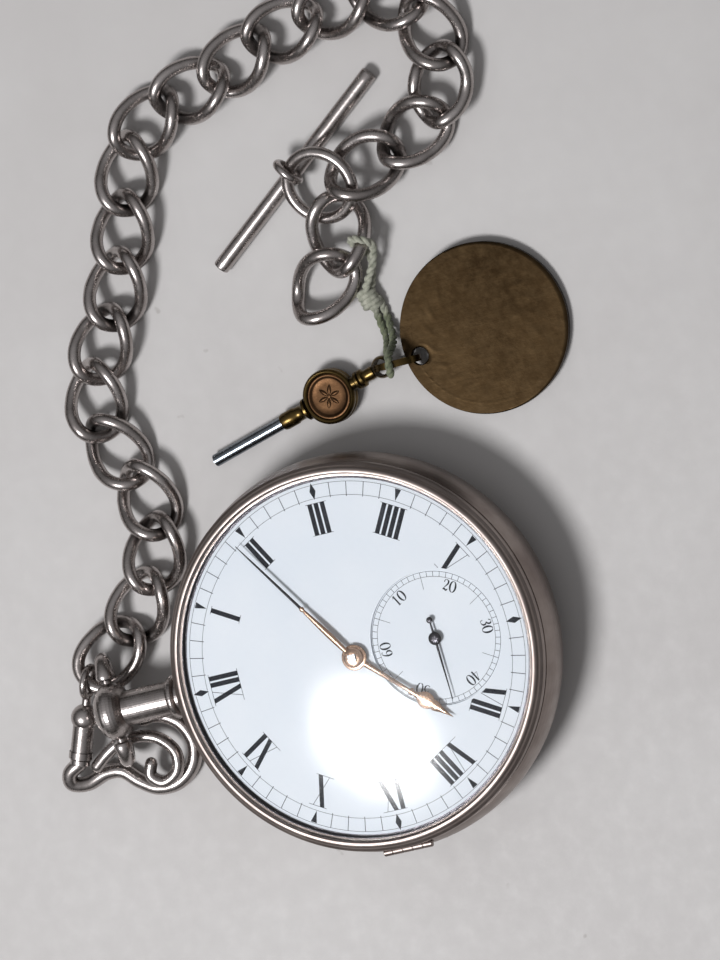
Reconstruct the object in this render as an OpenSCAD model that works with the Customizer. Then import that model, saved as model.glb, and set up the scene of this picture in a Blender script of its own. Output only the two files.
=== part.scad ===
/* [Case] */
// Outer diameter of the case at its widest
case_d = 52.4; // [52:0.1:53]
// Height of the widest line of the case above the rest face
case_mid_z = 7.2; // [7:0.1:7.4]
// Thickness of the silver in the back cover
cover_t = 0.7; // [0.6:0.05:0.8]
// Diameter of the small flat that the case rests on
rest_d = 20; // [16:1:24]

/* [Dial] */
// Diameter of the enamel dial
dial_d = 46.8; // [46:0.1:47]
// Height of the enamel's front face above the rest face
dial_z = 11.5; // [11.5:0.1:11.6]
// Distance from the centre of the dial to the seconds arbor
seconds_y = 11.2; // [11.2:0.05:11.3]
// Radius of the sunk seconds dial
seconds_r = 8.8; // [8.5:0.1:8.8]

/* [Hands] */
// Length of the minute hand from its centre
minute_len = 20.6; // [18:0.1:20.8]
// Length of the hour hand from its centre
hour_len = 15.2; // [13:0.1:16]
// Length of the seconds hand from its centre
second_len = 8; // [6:0.1:8.2]
// Angle of the minute hand, clockwise from twelve
minute_at = 56; // [0:1:359]
// Angle of the hour hand, clockwise from twelve
hour_at = 223; // [0:1:359]
// Angle of the seconds hand, clockwise from the seconds dial's sixty
second_at = 268; // [0:1:359]

/* [Chain] */
// Thickness of the link wire
link_d = 1.75; // [1.7:0.05:1.85]
// Outer length of one curb link
link_len = 11.65; // [11.5:0.05:11.7]
// Outer width of one curb link
link_w = 8.8; // [8.6:0.1:8.9]
// Slack between two links that touch when the chain is pulled
link_slack = 0.45; // [0.35:0.05:0.5]

/* [Fob] */
// Diameter of the brass token
token_d = 22.3; // [21:0.1:22.5]
// Thickness of the brass token
token_t = 1.3; // [1.1:0.1:1.4]
// Length of the toggle bar
bar_len = 33; // [28:1:34]
// Thickness of the toggle bar
bar_d = 2.2; // [2:0.1:2.3]

/* [Hidden] */
silver = [0.62, 0.58, 0.55];
brass = [0.62, 0.48, 0.22];
steel = [0.55, 0.57, 0.6];
blue_steel = [0.08, 0.1, 0.2];
gold = [0.75, 0.58, 0.42];
enamel = [0.93, 0.94, 0.95];

// Heights of the layers, from the back of the case to the crystal
back_rim_z = 3.9;
dust_z = 1.7;
dust_t = 0.4;
cock_z = 3.1;
back_plate_z = 4.4;
back_plate_t = 0.9;
front_plate_z = 8.9;
front_plate_t = 0.9;
dial_t = 0.6;
bezel_z = 10.9;
bezel_top_z = 13.0;
crystal_top_z = 15.6;

// Hinge pins of the back cover and the bezel
hinge_x = 25.75;
hinge_r = 0.5;
hinge_len = 6.8;
back_hinge_z = 4;
front_hinge_z = 10.35;

// Radii of the case and the movement
case_r = case_d / 2;
band_in_r = 24.1;
plate_r = 22.8;
back_plate_r = 21.6;
dial_r = dial_d / 2;

// Going train: teeth, leaves and modules
barrel_teeth = 72;
centre_leaves = 12;
barrel_m = 0.24;
centre_teeth = 64;
third_leaves = 8;
centre_m = 0.22;
third_teeth = 60;
fourth_leaves = 8;
third_m = 0.2;
fourth_teeth = 64;
escape_leaves = 8;
fourth_m = 0.17;
escape_teeth = 15;
escape_r = 3.5;
cannon_leaves = 10;
minute_teeth = 40;
minute_leaves = 10;
hour_teeth = 30;
cannon_m = 0.2;
hour_m = 0.25;

// Places of the arbors in the plane of the movement
barrel_dist = barrel_m * (barrel_teeth + centre_leaves) / 2;
barrel_a = 75;
barrel_p = [barrel_dist * cos(barrel_a), barrel_dist * sin(barrel_a)];
third_dist = centre_m * (centre_teeth + third_leaves) / 2;
fourth_dist = third_m * (third_teeth + fourth_leaves) / 2;
third_y = -(third_dist ^ 2 - fourth_dist ^ 2 + seconds_y ^ 2) / (2 * seconds_y);
third_p = [sqrt(third_dist ^ 2 - third_y ^ 2), third_y];
fourth_p = [0, -seconds_y];
escape_dist = fourth_m * (fourth_teeth + escape_leaves) / 2;
escape_a = 157;
escape_p = fourth_p + escape_dist * [cos(escape_a), sin(escape_a)];
balance_p = [-13.2, 2];
lever_dir = (balance_p - escape_p) / norm(balance_p - escape_p);
lever_a = atan2(lever_dir[1], lever_dir[0]);
pallet_dist = 4.3;
pallet_p = escape_p + pallet_dist * lever_dir;
minute_wheel_a = 205;
minute_wheel_dist = cannon_m * (cannon_leaves + minute_teeth) / 2;
minute_wheel_p = minute_wheel_dist * [cos(minute_wheel_a), sin(minute_wheel_a)];
balance_r = 5.6;
click_p = barrel_p + [4.6, 3.2];
click_a = 250;
click_len = 1.4;

// Heights of the wheels
barrel_z = 5.5;
barrel_h = 2.2;
centre_wheel_z = 8.2;
third_wheel_z = 7.3;
fourth_wheel_z = 6.4;
escape_wheel_z = 5.6;
wheel_t = 0.35;
arbor_r = 0.35;
pivot_gap = 0.05;
motion_z = 9.9;

// Pendant, bow and swivel
pendant_y = 36.5;
pendant_z = case_mid_z;
knob_r = 3.9;
bow_half_w = 6.9;
bow_depth = 6.5;
bow_fold = 71;
bow_wire_r = 0.95;
bow_pin_r = 0.7;
swivel_eye = [4.4, 40.4, 4];
swivel_a = 158;
swivel_r = 1.85;
swivel_len = 10.5;
hook_wire_r = 1.05;
gate_wire_r = 0.85;

// Chain: direction of each link on the table, from the swivel to the ring
chain_start = [5, 39.9];
chain_z = 2.4;
chain_turns = [-55, -40, -25, 12.5, 26, -11, -36, -24.5, -21, -19, -58, -84, -63, -83.5, -76, -119,
    -162, 155, 112, 108.5];
link_pitch = link_len - 2 * link_d - link_slack;
link_a = (link_len - link_d) / 2;
link_b = (link_w - link_d) / 2;

// Ring, toggle bar and the short drop below the ring
ring_p = [60.1, -8.7, 3.55];
ring_r = 4.6;
ring_wire_r = 0.8;
drop_start = [57.2, -10.05];
drop_turns = [169, 124];
drop_lifts = [0.4, 0.3];
drop_tilts = [-3, 4];

CHAIN = ["chain_01", "chain_02", "chain_03", "chain_04", "chain_05",
    "chain_06", "chain_07", "chain_08", "chain_09", "chain_10"];

// Point at an angle on a circle
function on_circle(r, a) = [r * cos(a), r * sin(a)];
// Signed power, for rounded-square curves
function spow(v, p) = sign(v) * abs(v) ^ p;
function unit(v) = v / norm(v);

// Closed or open round wire swept along points; up gives each ring its first direction
function ring_pts(p, t, up, r, sides) =
    let (n = unit(up - (up * t) * t), b = cross(t, n))
    [for (k = [0 : sides - 1]) p + r * (cos(360 * k / sides) * n + sin(360 * k / sides) * b)];

module closed_wire(pts, ups, r, sides = 8) {
    n = len(pts);
    rings = [for (i = [0 : n - 1])
        ring_pts(pts[i], unit(pts[(i + 1) % n] - pts[(i + n - 1) % n]), ups[i], r, sides)];
    points = [for (q = rings) each q];
    faces = [for (i = [0 : n - 1], k = [0 : sides - 1])
        let (j = (i + 1) % n, m = (k + 1) % sides)
        [i * sides + k, i * sides + m, j * sides + m, j * sides + k]];
    polyhedron(points, [for (f = faces) each [[f[0], f[2], f[1]], [f[0], f[3], f[2]]]]);
}

module open_wire(pts, up, r, sides = 8) {
    n = len(pts);
    rings = [for (i = [0 : n - 1])
        ring_pts(pts[i], unit(pts[min(i + 1, n - 1)] - pts[max(i - 1, 0)]), up, is_list(r) ? r[i] : r, sides)];
    points = [for (q = rings) each q];
    skin = [for (i = [0 : n - 2], k = [0 : sides - 1])
        let (m = (k + 1) % sides)
        [i * sides + k, i * sides + m, (i + 1) * sides + m, (i + 1) * sides + k]];
    polyhedron(points, concat(
        [for (f = skin) each [[f[0], f[2], f[1]], [f[0], f[3], f[2]]]],
        [[for (k = [0 : sides - 1]) k]],
        [[for (k = [sides - 1 : -1 : 0]) (n - 1) * sides + k]]));
}

// Smooth curve through hand-chosen points
function spline_at(p, i, t) =
    let (n = len(p), a = p[max(i - 1, 0)], b = p[i], c = p[i + 1], d = p[min(i + 2, n - 1)])
    0.5 * (2 * b + (c - a) * t + (2 * a - 5 * b + 4 * c - d) * t * t + (3 * b - a - 3 * c + d) * t * t * t);
function spline(p, steps) = concat(
    [for (i = [0 : len(p) - 2], k = [0 : steps - 1]) spline_at(p, i, k / steps)], [p[len(p) - 1]]);

// Teeth as one outline, the first gap or tooth turned by phase
function gear_outline(teeth, m, phase) =
    let (rp = teeth * m / 2, tip = rp + 0.62 * m, root = rp - 0.85 * m, step = 360 / teeth)
    [for (i = [0 : teeth - 1], q = [[-0.24, 0], [-0.12, 1], [0.12, 1], [0.24, 0]])
        on_circle(q[1] == 1 ? tip : root, phase + step * (i + q[0]))];

module wheel(teeth, m, phase, z, spokes, hub_r) {
    rp = teeth * m / 2;
    translate([0, 0, z]) linear_extrude(wheel_t) difference() {
        polygon(gear_outline(teeth, m, phase));
        if (spokes > 0) difference() {
            circle(r = rp - 0.85 * m - 0.55, $fn = 60);
            circle(r = hub_r, $fn = 30);
            for (i = [0 : spokes - 1]) rotate(360 * i / spokes) translate([0, -0.3]) square([rp, 0.6]);
        }
    }
}

// Body of revolution about the z axis from radius and height pairs
module turned(points) {
    rotate_extrude($fn = 128) polygon(points);
}

// ---- Case ----
// Quarter curve of the back cover, set in by t
function cover_curve(t) = [for (a = [0 : 7.5 : 90])
    [rest_d / 2 + (case_r - 0.6 - t - rest_d / 2) * sin(a), t + (back_rim_z - t) * (1 - cos(a))]];
function rev(v) = [for (i = [len(v) - 1 : -1 : 0]) v[i]];

module back_cover() {
    color(silver) difference() {
        turned(concat([[0, 0]], cover_curve(0), rev(cover_curve(cover_t)), [[0, cover_t]]));
        hinge_hole(back_hinge_z);
    }
}

function dust_curve(z) = [for (r = [0, 6, 12, 15, 17, 19, 20.5, 22, 23, 23.9])
    [r, z + 2.2 * (r / 23.9) ^ 6]];

module dust_cover() {
    color(silver) difference() {
        turned(concat(dust_curve(dust_z), [[23.9, 4.3]], rev(dust_curve(dust_z + dust_t))));
        translate([barrel_p[0], barrel_p[1], 0]) cylinder(r = 1.7, h = 5, $fn = 40);
    }
}

function band_curve() = [for (z = [4 : 0.685 : 10.86])
    [case_r - 0.6 * ((z - case_mid_z) / 3.3) ^ 2, z]];

module case_band() {
    color(silver) difference() {
        turned(concat(band_curve(), [[band_in_r, 10.85], [band_in_r, 9.8], [22.95, 9.8], [22.95, 9.2],
            [band_in_r, 8.6], [band_in_r, 4]]));
        translate([0, 20, pendant_z]) rotate([-90, 0, 0]) cylinder(r = 2.37, h = 10, $fn = 48);
        hinge_hole(back_hinge_z);
        hinge_hole(front_hinge_z);
    }
}

// Room for a hinge pin that lies across the nine o'clock side of the case
module hinge_hole(z) {
    translate([-hinge_x, 0, z]) rotate([90, 0, 0])
        cylinder(r = hinge_r + 0.1, h = hinge_len + 0.2, center = true, $fn = 24);
}

module hinge_pins() {
    color(silver) for (z = [back_hinge_z, front_hinge_z]) translate([-hinge_x, 0, z]) rotate([90, 0, 0])
        cylinder(r = hinge_r, h = hinge_len, center = true, $fn = 24);
}

module bezel() {
    color(silver) turned([[23.6, 10.95], [25.3, 10.95], [25.5, 11.3], [25.4, 12], [25.1, 12.5],
        [24.7, 12.85], [24.3, bezel_top_z], [23.95, 12.9], [23.9, 12.35], [23.6, 12.3]]);
}

function dome(z, h) = [for (r = [0 : 2.38 : 23.8]) [r, z + h * (1 - (r / 23.8) ^ 2)]];

module crystal() {
    color([0.8, 0.9, 0.95, 0.3]) turned(concat(dome(12.4, 2.5), rev(dome(12.9, crystal_top_z - 12.9))));
}

module pendant() {
    color(silver) difference() {
        translate([0, 0, pendant_z]) rotate([-90, 0, 0]) union() {
            translate([0, 0, 24.3]) cylinder(r = 2.35, h = 11, $fn = 48);
            translate([0, 0, 27.4]) rotate_extrude($fn = 48) translate([2.3, 0]) circle(r = 0.6, $fn = 24);
            translate([0, 0, pendant_y]) rotate([0, 0, 20]) rotate_extrude($fn = 64)
                polygon([for (a = [-90 : 10 : 90]) [knob_r * cos(a), 2.5 * sin(a)]]);
        }
        for (s = [-1, 1]) translate([s * 2.3, pendant_y, pendant_z]) rotate([0, s * 90, 0])
            cylinder(r = bow_pin_r + 0.05, h = 3, $fn = 32);
    }
}

// ---- Bow ----
function bow_point(a) =
    let (x = bow_half_w * spow(cos(a), 0.75), d = 2.6 + 3.9 * spow(sin(a), 0.85))
    [x, pendant_y + d * cos(bow_fold), pendant_z - d * sin(bow_fold)];

// Pivot end of the bow: distance along the pivot axis and radius there
bow_end = [[2.4, bow_pin_r], [4.2, bow_pin_r], [4.28, 1.1], [4.7, 1.3], [5.3, 1.15]];

module bow() {
    arch = [for (a = [-22 : 8 : 202]) bow_point(a)];
    left = [for (e = bow_end) [-e[0], pendant_y, pendant_z]];
    right = [for (e = bow_end) [e[0], pendant_y, pendant_z]];
    ends = [for (e = bow_end) e[1]];
    color(silver) open_wire(concat(right, arch, rev(left)), unit([0, sin(bow_fold), cos(bow_fold)]),
        concat(ends, [for (p = arch) bow_wire_r], rev(ends)), 12);
}

// ---- Swivel ----
module along_swivel(s) {
    translate(swivel_eye) rotate([0, 0, swivel_a]) translate([s, 0, 0]) rotate([0, 90, 0]) children();
}

module swivel_barrel() {
    color(silver) difference() {
        union() {
            translate(swivel_eye) rotate([90, 0, swivel_a]) rotate_extrude($fn = 48)
                translate([1.95, 0]) circle(r = 0.5, $fn = 20);
            along_swivel(2) cylinder(r = 0.6, h = 1.5, $fn = 24);
            along_swivel(4.9) sphere(r = swivel_r, $fn = 40);
            along_swivel(4.9) cylinder(r = 1.45, h = swivel_len - 5.8, $fn = 40);
            along_swivel(swivel_len - 1.1) cylinder(r = 1.2, h = 0.5, $fn = 40);
            along_swivel(swivel_len - 0.9) cylinder(r = 1.6, h = 0.9, $fn = 40);
        }
        along_swivel(swivel_len - 2.5) cylinder(r = 0.65, h = 4, $fn = 24);
    }
}

hook_route = [[-6, 44.65, 4], [-7, 46.4, 3.8], [-8.5, 46.8, 3], [-9, 44.9, 2.1], [-8.2, 42.2, 1.6],
    [-8.5, 40, 1.2], [-10.3, 38, 1.1], [-11.7, 35.6, 1.1], [-11.6, 32.6, 1.1], [-9.8, 30.1, 1.1],
    [-7, 29.1, 1.1], [-4.2, 30, 1.2], [-2.6, 31.8, 1.6], [-2.1, 33.4, 2], [-2.2, 34.8, 2.3]];
gate_route = [[-6.9, 42.4, 3.7], [-5.4, 40.2, 4], [-4.3, 37.8, 3.9], [-4.3, 35.2, 3.6], [-5.2, 32.8, 3.4],
    [-7.4, 31.1, 3.3], [-9.9, 31.6, 3.2], [-11, 33.8, 3.2], [-9.8, 35.4, 3.2], [-8.2, 34.9, 3.3]];

module swivel_hook() {
    color(silver) union() {
        along_swivel(swivel_len - 2.3) cylinder(r = 0.6, h = 3, $fn = 24);
        along_swivel(swivel_len + 0.05) cylinder(r = 1.35, h = 0.9, $fn = 32);
        open_wire(spline(hook_route, 3), [0, 0, 1], hook_wire_r, 10);
        translate(hook_route[len(hook_route) - 1]) sphere(r = hook_wire_r + 0.06, $fn = 20);
    }
}

module swivel_gate() {
    color(silver) union() {
        open_wire(spline(gate_route, 3), [0, 0, 1], gate_wire_r, 8);
        translate(gate_route[len(gate_route) - 1]) sphere(r = gate_wire_r + 0.06, $fn = 20);
    }
}

// ---- Chain ----
// One link: an oval wire, its flat side turned from roll0 at the back to roll1 at the front
function link_roll(t, roll0, roll1) = (roll1 - roll0) / 2 * t + (roll0 + roll1) / 2 * t * t;
function link_point(a, roll0, roll1) =
    let (t = spow(cos(a), 0.85), y = link_b * spow(sin(a), 0.85), q = link_roll(t, roll0, roll1))
    [link_a * t, y * cos(q), y * sin(q)];
function link_up(a, roll0, roll1) =
    let (q = link_roll(spow(cos(a), 0.85), roll0, roll1)) [0, -sin(q), cos(q)];

module link(roll0, roll1) {
    angles = [for (k = [0 : 19]) 9 + 18 * k];
    closed_wire([for (a = angles) link_point(a, roll0, roll1)],
        [for (a = angles) link_up(a, roll0, roll1)], link_d / 2, 8);
}

// The first link slopes from the swivel's eye down to the table
first_lift = 0.4;
first_tilt = 12.7;
// The last link slopes up into the ring
last_lift = 1.15;
last_tilt = -12.5;

// Places where one link pulls on the next
function chain_at(i) = i == 0 ? chain_start : chain_at(i - 1) + on_circle(link_pitch, chain_turns[i - 1]);
function drop_at(i) = i == 0 ? drop_start : drop_at(i - 1) + on_circle(link_pitch, drop_turns[i - 1]);

module chain_link(i) {
    p = (chain_at(i) + chain_at(i + 1)) / 2;
    first = i == 0;
    last = i == len(chain_turns) - 1;
    after_turn = i > len(chain_turns) - 3;
    before_turn = i < len(chain_turns) - 3;
    translate([p[0], p[1], chain_z + (first ? first_lift : last ? last_lift : 0)])
        rotate([0, first ? first_tilt : last ? last_tilt : 0, chain_turns[i]])
        link(first ? 0 : after_turn ? -45 : 45, first ? -38 : before_turn ? -45 : 45);
}

module chain_pair(i) {
    color(silver) for (k = [0, 1]) chain_link(2 * i + k);
}

module drop_link(i) {
    p = (drop_at(i) + drop_at(i + 1)) / 2;
    color(silver) translate([p[0], p[1], chain_z + drop_lifts[i]])
        rotate([0, drop_tilts[i], drop_turns[i]]) link(-45, 45);
}

// ---- Ring and toggle bar ----
ring_tilt_a = -32;
ring_tilt = 21;

module jump_ring() {
    color(silver) translate(ring_p) rotate([0, 0, ring_tilt_a]) rotate([0, -ring_tilt, 0])
        rotate_extrude($fn = 64) translate([ring_r, 0]) circle(r = ring_wire_r, $fn = 24);
}

bar_p = [62.85, -5, bar_d / 2];
bar_a = -54;

module toggle_bar() {
    color(silver) translate(bar_p) rotate([0, 0, bar_a]) union() {
        rotate([0, 90, 0]) cylinder(r = bar_d / 2, h = bar_len - bar_d, center = true, $fn = 32);
        for (s = [-1, 1]) translate([s * (bar_len - bar_d) / 2, 0, 0]) sphere(r = bar_d / 2, $fn = 32);
        translate([0, 0, 2.6]) rotate([0, 90, 0]) rotate_extrude($fn = 40) translate([1.75, 0]) circle(r = 0.55, $fn = 20);
    }
}

// ---- Fob ----
split_ring_p = [35.3, -12.9, 3.6];
split_ring_r = 2.95;

module split_ring() {
    color(brass) translate(split_ring_p) rotate([0, 90, 0]) for (s = [-1, 1])
        translate([0, 0, s * 0.22]) rotate_extrude($fn = 48) translate([split_ring_r, 0])
            square([0.5, 0.44], center = true);
}

token_tilt = 4;

module token() {
    color(brass) translate([36.9, -24.8 - token_d / 2, 0]) rotate([token_tilt, 0, 0])
        translate([0, token_d / 2, 0]) difference() {
            cylinder(r = token_d / 2, h = token_t, $fn = 96);
            rotate([0, 0, 99]) translate([9.3, 0, -1]) cylinder(r = 1.15, h = 4, $fn = 32);
        }
}

key_p = [35.3, -10.3, 2.2];
key_a = 104;
key_drop = 2.5;

module on_key(s) {
    translate(key_p) rotate([0, key_drop, key_a]) translate([s, 0, 0]) children();
}

module key_head() {
    color(brass) difference() {
        union() {
            on_key(0) sphere(r = 1.5, $fn = 40);
            on_key(1.2) rotate([0, 90, 0]) cylinder(r = 0.9, h = 3.6, $fn = 32);
            on_key(3) rotate([0, 90, 0]) cylinder(r = 1.25, h = 1, $fn = 32);
            on_key(8.3) cylinder(r = 3.65, h = 2.2, center = true, $fn = 64);
            on_key(11) rotate([0, 90, 0]) cylinder(r = 1.5, h = 1.4, $fn = 32);
            on_key(12) rotate([0, 90, 0]) cylinder(r = 1.15, h = 4, $fn = 32);
        }
        on_key(0) cylinder(r = 1.1, h = 8, center = true, $fn = 32);
        on_key(8.3) cylinder(r = 3, h = 8, center = true, $fn = 64);
        on_key(13) rotate([0, 90, 0]) cylinder(r = 0.6, h = 8, $fn = 32);
    }
}

module key_medallion() {
    color([0.5, 0.3, 0.2]) on_key(8.3) cylinder(r = 3, h = 1.6, center = true, $fn = 64);
}

module key_tube() {
    color(steel) difference() {
        union() {
            on_key(13.2) rotate([0, 90, 0]) cylinder(r = 0.6, h = 3, $fn = 32);
            on_key(16) rotate([0, 90, 0]) cylinder(r = 0.85, h = 11, $fn = 32);
        }
        on_key(22.5) translate([0, -0.5, -0.5]) cube([6, 1, 1]);
    }
}

// ---- Thread ----
thread_r = 0.45;
thread_route = [[44.6, -9.9, 1.4], [46.6, -11.4, 2.4], [48.6, -12.8, 2.8], [50.6, -13.5, 3.2], [51.3, -13.6, 4.5],
    [52, -12.6, 5.1], [52.3, -11.4, 4.6], [51.8, -10.9, 3.3], [51, -11.5, 2.3], [49.4, -12.2, 1.3], [47, -11.6, 0.8],
    [44.4, -10.8, 0.8], [41.4, -11, 0.6], [38.8, -11.6, 1.4],
    [36.9, -12.1, 4.2], [35.3, -12.4, 5.4], [34.1, -12.6, 6.5], [35.3, -13, 7.5], [36.7, -13, 6.2],
    [38.3, -12.8, 2.6], [41.2, -12.2, 0.6], [44.2, -11.8, 0.9]];

module thread() {
    color([0.45, 0.47, 0.38]) open_wire(spline(thread_route, 3), [0, 0.2, 1], thread_r, 8);
}

// ---- Dial and hands ----
module dial() {
    color(enamel) difference() {
        translate([0, 0, dial_z - dial_t]) cylinder(r = dial_r, h = dial_t, $fn = 128);
        translate([0, 0, dial_z - 2]) cylinder(r = 1.5, h = 3, $fn = 40);
        translate([0, -seconds_y, dial_z - 2]) cylinder(r = seconds_r, h = 3, $fn = 96);
    }
}

module seconds_dial() {
    color(enamel) translate([0, -seconds_y, dial_z - dial_t]) difference() {
        cylinder(r = seconds_r - 0.02, h = 0.3, $fn = 96);
        translate([0, 0, -1]) cylinder(r = 0.55, h = 3, $fn = 24);
    }
}

// Flat hand lying along its own +Y, turned clockwise from twelve
module hand_at(p, angle, z, t) {
    translate([p[0], p[1], z]) rotate([0, 0, -angle]) linear_extrude(t) children();
}

module hour_hand() {
    color(gold) hand_at([0, 0], hour_at, 12.05, 0.2) difference() {
        union() {
            circle(r = 1.7, $fn = 40);
            polygon([[-0.5, 0], [0.5, 0], [0.35, 9.5], [-0.35, 9.5]]);
            polygon([for (a = [0 : 20 : 340]) [1.15 * cos(a), 10.9 + 1.7 * sin(a)]]);
            polygon([[-0.7, 11.9], [0.7, 11.9], [0.08, hour_len], [-0.08, hour_len]]);
        }
        circle(r = 1.05, $fn = 40);
    }
}

module minute_hand() {
    color(gold) hand_at([0, 0], minute_at, 12.5, 0.16) difference() {
        union() {
            circle(r = 1.25, $fn = 40);
            polygon([[-0.38, 0], [0.38, 0], [0.22, 8.5], [0.07, minute_len], [-0.07, minute_len], [-0.22, 8.5]]);
        }
        circle(r = 0.62, $fn = 32);
    }
}

module seconds_hand() {
    color(blue_steel) union() {
        hand_at(fourth_p, second_at, 11.75, 0.12) difference() {
            union() {
                circle(r = 0.75, $fn = 32);
                polygon([[-0.16, -2.4], [0.16, -2.4], [0.06, second_len], [-0.06, second_len]]);
                translate([0, -2.6]) circle(r = 0.4, $fn = 24);
            }
            circle(r = 0.3, $fn = 24);
        }
    }
}

// ---- Movement ----
module bore(p, r) {
    translate([p[0], p[1], -1]) cylinder(r = r, h = 20, $fn = 24);
}

pillar_at = [45, 130, 215, 318];

module front_plate() {
    color(brass) difference() {
        translate([0, 0, front_plate_z]) cylinder(r = plate_r, h = front_plate_t, $fn = 128);
        bore([0, 0], 0.8);
        bore(fourth_p, arbor_r + pivot_gap);
        for (p = [third_p, escape_p, pallet_p, balance_p, minute_wheel_p]) bore(p, 0.25 + pivot_gap);
        bore(barrel_p, 0.9 + pivot_gap);
    }
}

module back_plate() {
    color(brass) difference() {
        translate([0, 0, back_plate_z]) cylinder(r = back_plate_r, h = back_plate_t, $fn = 128);
        bore([0, 0], 0.5 + pivot_gap);
        for (p = [third_p, fourth_p, escape_p, pallet_p]) bore(p, 0.25 + pivot_gap);
        bore(barrel_p, 0.9 + pivot_gap);
        bore(click_p, 0.35 + pivot_gap);
        bore(balance_p, balance_r + 0.9);
        translate([-30, balance_p[1] - 4, -1]) cube([12, 8, 20]);
        for (a = pillar_at) bore(on_circle(19.4, a), 0.65);
    }
}

module pillars() {
    color(brass) for (a = pillar_at) translate(concat(on_circle(19.4, a), 0)) difference() {
        translate([0, 0, back_plate_z + back_plate_t])
            cylinder(r = 1.1, h = front_plate_z - back_plate_z - back_plate_t, $fn = 32);
        cylinder(r = 0.6, h = 7, $fn = 24);
    }
}

module plate_screws() {
    color(blue_steel) for (a = pillar_at) translate(concat(on_circle(19.4, a), 0)) difference() {
        union() {
            translate([0, 0, back_plate_z - 0.4]) cylinder(r = 1, h = 0.4, $fn = 32);
            translate([0, 0, back_plate_z - 0.1]) cylinder(r = 0.58, h = 2.6, $fn = 24);
        }
        translate([-2, -0.15, back_plate_z - 1]) cube([4, 0.3, 0.8]);
    }
}

function spiral(r0, r1, turns, t) = concat(
    [for (k = [0 : 12 * turns]) on_circle(r0 + (r1 - r0) * k / (12 * turns), 30 * k)],
    [for (k = [12 * turns : -1 : 0]) on_circle(r0 + (r1 - r0) * k / (12 * turns) + t, 30 * k)]);

module barrel() {
    color(brass) translate([barrel_p[0], barrel_p[1], 0]) difference() {
        union() {
            translate([0, 0, barrel_z]) linear_extrude(0.5)
                polygon(gear_outline(barrel_teeth, barrel_m, barrel_a + 180));
            translate([0, 0, barrel_z]) cylinder(r = 7.9, h = barrel_h, $fn = 96);
        }
        translate([0, 0, barrel_z + 0.4]) cylinder(r = 7.4, h = barrel_h - 0.8, $fn = 96);
        cylinder(r = 1.25, h = 20, $fn = 32);
    }
}

module mainspring() {
    color(blue_steel) translate([barrel_p[0], barrel_p[1], barrel_z + 0.5])
        linear_extrude(barrel_h - 1) polygon(spiral(2.4, 7.1, 9, 0.22));
}

module barrel_arbor() {
    color(steel) translate([barrel_p[0], barrel_p[1], 0]) union() {
        translate([0, 0, 4.2]) cylinder(r = 0.9, h = 5.4, $fn = 32);
        translate([0, 0, barrel_z + 0.45]) cylinder(r = 1.9, h = barrel_h - 0.9, $fn = 32);
        translate([-0.55, -0.55, 2]) cube([1.1, 1.1, 2.4]);
    }
}

module ratchet_wheel() {
    color(steel) translate([barrel_p[0], barrel_p[1], 3.8]) linear_extrude(0.5) difference() {
        polygon([for (k = [0 : 29]) each [on_circle(3.9, 12 * k), on_circle(3.3, 12 * k + 1)]]);
        circle(r = 0.92, $fn = 32);
    }
}

module click() {
    color(blue_steel) translate([click_p[0], click_p[1], 0]) union() {
        translate([0, 0, 3.8]) linear_extrude(0.5) union() {
            circle(r = 0.75, $fn = 24);
            rotate(click_a) translate([0, -0.4]) square([click_len, 0.8]);
        }
        translate([0, 0, 3.6]) cylinder(r = 0.35, h = 1.6, $fn = 24);
    }
}

module pinion(leaves, m, phase, z, h) {
    translate([0, 0, z]) linear_extrude(h) polygon(gear_outline(leaves, m, phase));
}

function angle_of(v) = atan2(v[1], v[0]);

module centre_wheel() {
    color(brass) difference() {
        wheel(centre_teeth, centre_m, angle_of(third_p), centre_wheel_z, 5, 1.6);
        translate([0, 0, 5]) cylinder(r = 0.7, h = 5, $fn = 32);
    }
}

module centre_arbor() {
    color(steel) union() {
        translate([0, 0, back_plate_z]) cylinder(r = 0.5, h = 1.4, $fn = 32);
        translate([0, 0, 6.3]) cylinder(r = 0.69, h = 3.55, $fn = 32);
        translate([0, 0, 9.8]) cylinder(r = 0.4, h = 2.8, $fn = 32);
        pinion(centre_leaves, barrel_m, barrel_a + 180 / centre_leaves, 5.35, 1);
    }
}

module arbor(r, z0, z1) {
    translate([0, 0, z0]) cylinder(r = 0.25, h = z1 - z0, $fn = 24);
    translate([0, 0, z0 + 1.1]) cylinder(r = r, h = z1 - z0 - 2.1, $fn = 24);
}

module third_wheel() {
    color(brass) translate(concat(third_p, 0)) union() {
        wheel(third_teeth, third_m, angle_of(fourth_p - third_p), third_wheel_z, 4, 1);
        arbor(arbor_r, back_plate_z, front_plate_z + front_plate_t);
        pinion(third_leaves, centre_m, angle_of(third_p) + 180 + 180 / third_leaves, 7.8, 0.95);
    }
}

module fourth_wheel() {
    color(brass) translate(concat(fourth_p, 0)) union() {
        wheel(fourth_teeth, fourth_m, escape_a, fourth_wheel_z, 4, 1);
        translate([0, 0, back_plate_z]) cylinder(r = 0.25, h = 1.2, $fn = 24);
        translate([0, 0, 5.5]) cylinder(r = arbor_r, h = 4.5, $fn = 24);
        translate([0, 0, 9.9]) cylinder(r = 0.28, h = 2.1, $fn = 24);
        pinion(fourth_leaves, third_m, angle_of(fourth_p - third_p) + 180 + 180 / fourth_leaves, 6.7, 1.1);
    }
}

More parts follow.
